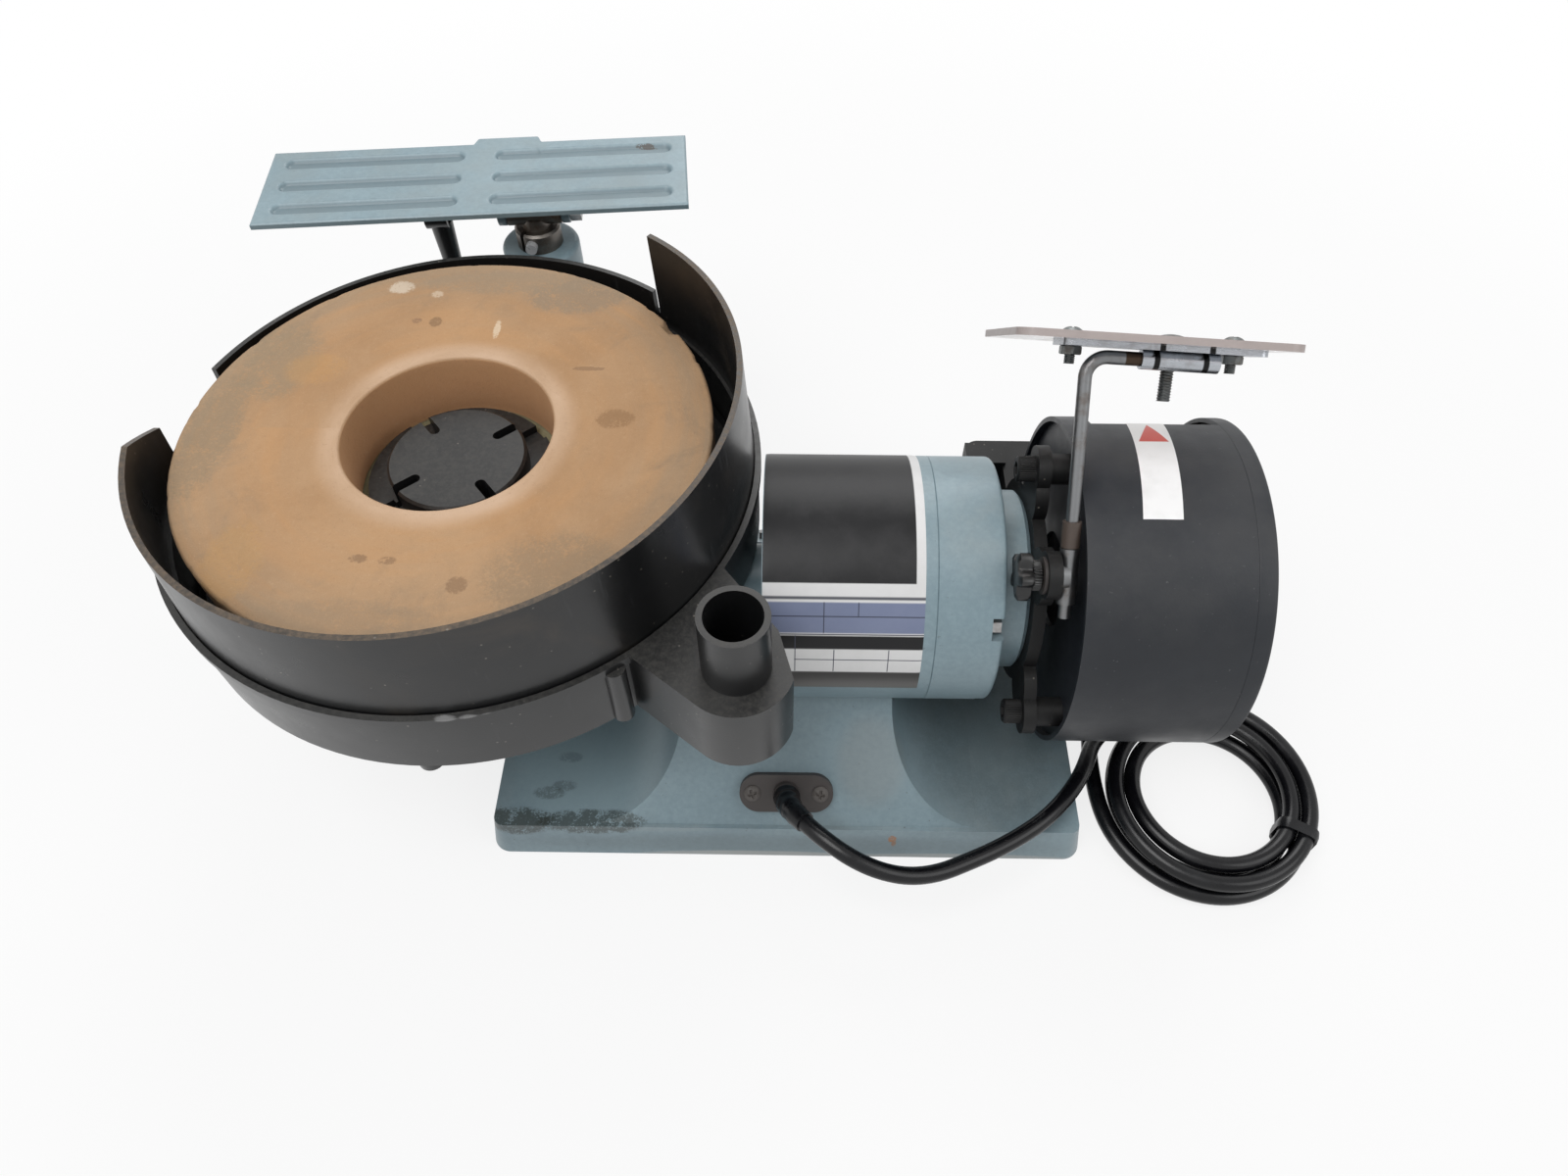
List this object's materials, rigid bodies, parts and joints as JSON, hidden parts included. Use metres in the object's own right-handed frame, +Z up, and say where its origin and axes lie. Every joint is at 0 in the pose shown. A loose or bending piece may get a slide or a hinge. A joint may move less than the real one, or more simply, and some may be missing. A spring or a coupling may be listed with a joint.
{
  "type": "wet grinding sharpener",
  "caption": "Bench sharpener with a slow horizontal wet stone in a water tray, a motor on a cast base, and a guarded dry wheel with an eye shield.",
  "frame": {"origin": "under the middle of the base, on the bench", "axes": "+X along the motor axis to the dry wheel, +Y to the operator, +Z up"},
  "size_m": [0.4806, 0.3153, 0.2237],
  "materials": {
    "blue_grey_paint": "satin",
    "bright_steel": "brushed",
    "black_screws": "satin",
    "black_plastic": "matte",
    "black_metal": "satin",
    "red_plastic": "gloss",
    "bottom_sheet": "matte",
    "core_steel": "dull",
    "copper_winding": "varnished",
    "worm_bronze": "machined",
    "orange_stone": "rough",
    "grey_stone": "rough",
    "seal_rubber": "matte",
    "cord_rubber": "matte",
    "brass_blades": "polished",
    "clear_sheet": "clear",
    "grey_plastic": "matte"
  },
  "bodies": {
    "base": {"base_casting": "blue_grey_paint", "bottom_plate": "bottom_sheet", "base_screws": "bright_steel", "capacitor": "grey_plastic", "motor_shell": "blue_grey_paint", "stator_core": "core_steel", "stator_windings": "copper_winding", "right_end_bell": "blue_grey_paint", "motor_bolts": "bright_steel", "gear_housing": "blue_grey_paint", "gear_cover": "blue_grey_paint", "housing_screws": "bright_steel", "snout_cap": "blue_grey_paint", "shaft_bearings": "bright_steel", "spindle_bearings": "bright_steel", "spindle_seal": "seal_rubber", "water_tray": "black_plastic", "splash_ring": "black_plastic", "back_band": "black_plastic", "boss_screw": "bright_steel", "guard_spider": "black_metal", "guard_screws": "black_screws", "guard_drum": "black_metal", "guard_cover": "black_metal", "dry_rest_bolt": "bright_steel", "clamp_sleeve": "bright_steel", "knob_washer": "seal_rubber", "switch_housing": "black_plastic", "cord_plate": "grey_plastic", "power_cord": "cord_rubber", "cord_coil": "cord_rubber", "cord_tail": "cord_rubber", "plug_body": "cord_rubber", "plug_blades": "brass_blades", "coil_tie": "cord_rubber"},
    "rotor": {"motor_shaft": "bright_steel", "rotor_core": "core_steel", "cooling_fan": "black_plastic", "dry_wheel": "grey_stone", "dry_wheel_flanges": "bright_steel", "arbor_nut": "bright_steel"},
    "wet_wheel": {"spindle": "bright_steel", "worm_wheel": "worm_bronze", "wheel_flange": "bright_steel", "grinding_stone": "orange_stone", "hub_cap": "black_plastic"},
    "rest_post": {"rest_post": "bright_steel", "post_clamp_bolt": "bright_steel"},
    "rest_bracket": {"rest_bracket": "bright_steel"},
    "rest_plate": {"rest_plate": "blue_grey_paint"},
    "rest_lever": {"rest_lock_lever": "black_plastic", "rest_pivot_bolt": "bright_steel"},
    "dry_rest": {"dry_rest": "black_metal"},
    "shield_rod": {"shield_rod": "bright_steel", "rod_collar": "seal_rubber"},
    "shield": {"shield_plate": "clear_sheet", "shield_strip": "bright_steel", "shield_screws": "bright_steel"},
    "clamp_knob": {"clamp_knob": "black_plastic"},
    "switch_rocker": {"switch_rocker": "red_plastic"}
  },
  "joints": [
    {"name": "wet_wheel_spin", "type": "hinge", "parent": "base", "child": "wet_wheel", "pos_m": [-0.1305, 0.017, 0.12], "axis": [0, 0, 1], "continuous": true},
    {"name": "rotor_spin", "type": "hinge", "parent": "base", "child": "rotor", "pos_m": [0, 0, 0.0906], "axis": [1, 0, 0], "continuous": true},
    {"name": "rest_post_height", "type": "slide", "parent": "base", "child": "rest_post", "axis": [0, 0, 1], "range_m": [0, 0.02]},
    {"name": "rest_swivel", "type": "hinge", "parent": "rest_post", "child": "rest_bracket", "pos_m": [-0.119, 0.157, 0.12], "axis": [0, 0, 1], "range_deg": [-20, 15]},
    {"name": "rest_tilt", "type": "hinge", "parent": "rest_bracket", "child": "rest_plate", "pos_m": [-0.119, 0.157, 0.159], "axis": [0.9954, 0.0958, 0], "range_deg": [-10, 20]},
    {"name": "rest_lever_turn", "type": "hinge", "parent": "rest_bracket", "child": "rest_lever", "pos_m": [-0.119, 0.157, 0.159], "axis": [0.9954, 0.0958, 0], "range_deg": [0, 70]},
    {"name": "dry_rest_slide", "type": "slide", "parent": "base", "child": "dry_rest", "axis": [0, 1, 0], "range_m": [0, 0.011]},
    {"name": "shield_height", "type": "slide", "parent": "base", "child": "shield_rod", "axis": [0, 0.6088, 0.7934], "range_m": [0, 0.018]},
    {"name": "shield_tilt", "type": "hinge", "parent": "shield_rod", "child": "shield", "pos_m": [0.1026, 0.0151, 0.1989], "axis": [0.9986, -0.0319, -0.0415], "range_deg": [-40, 25]},
    {"name": "clamp_knob_turn", "type": "hinge", "parent": "base", "child": "clamp_knob", "pos_m": [0.09, -0.03299, 0.13623], "axis": [1, 0, 0], "range_deg": [-180, 180]},
    {"name": "switch_rock", "type": "hinge", "parent": "base", "child": "switch_rocker", "pos_m": [0, 0.06338, 0.04189], "axis": [0, -0.6912, 0.7226], "range_deg": [-14, 0]}
  ],
  "couplings": [
    {"joint": "rotor_spin", "follows": "wet_wheel_spin", "ratio": -8.5}
  ]
}
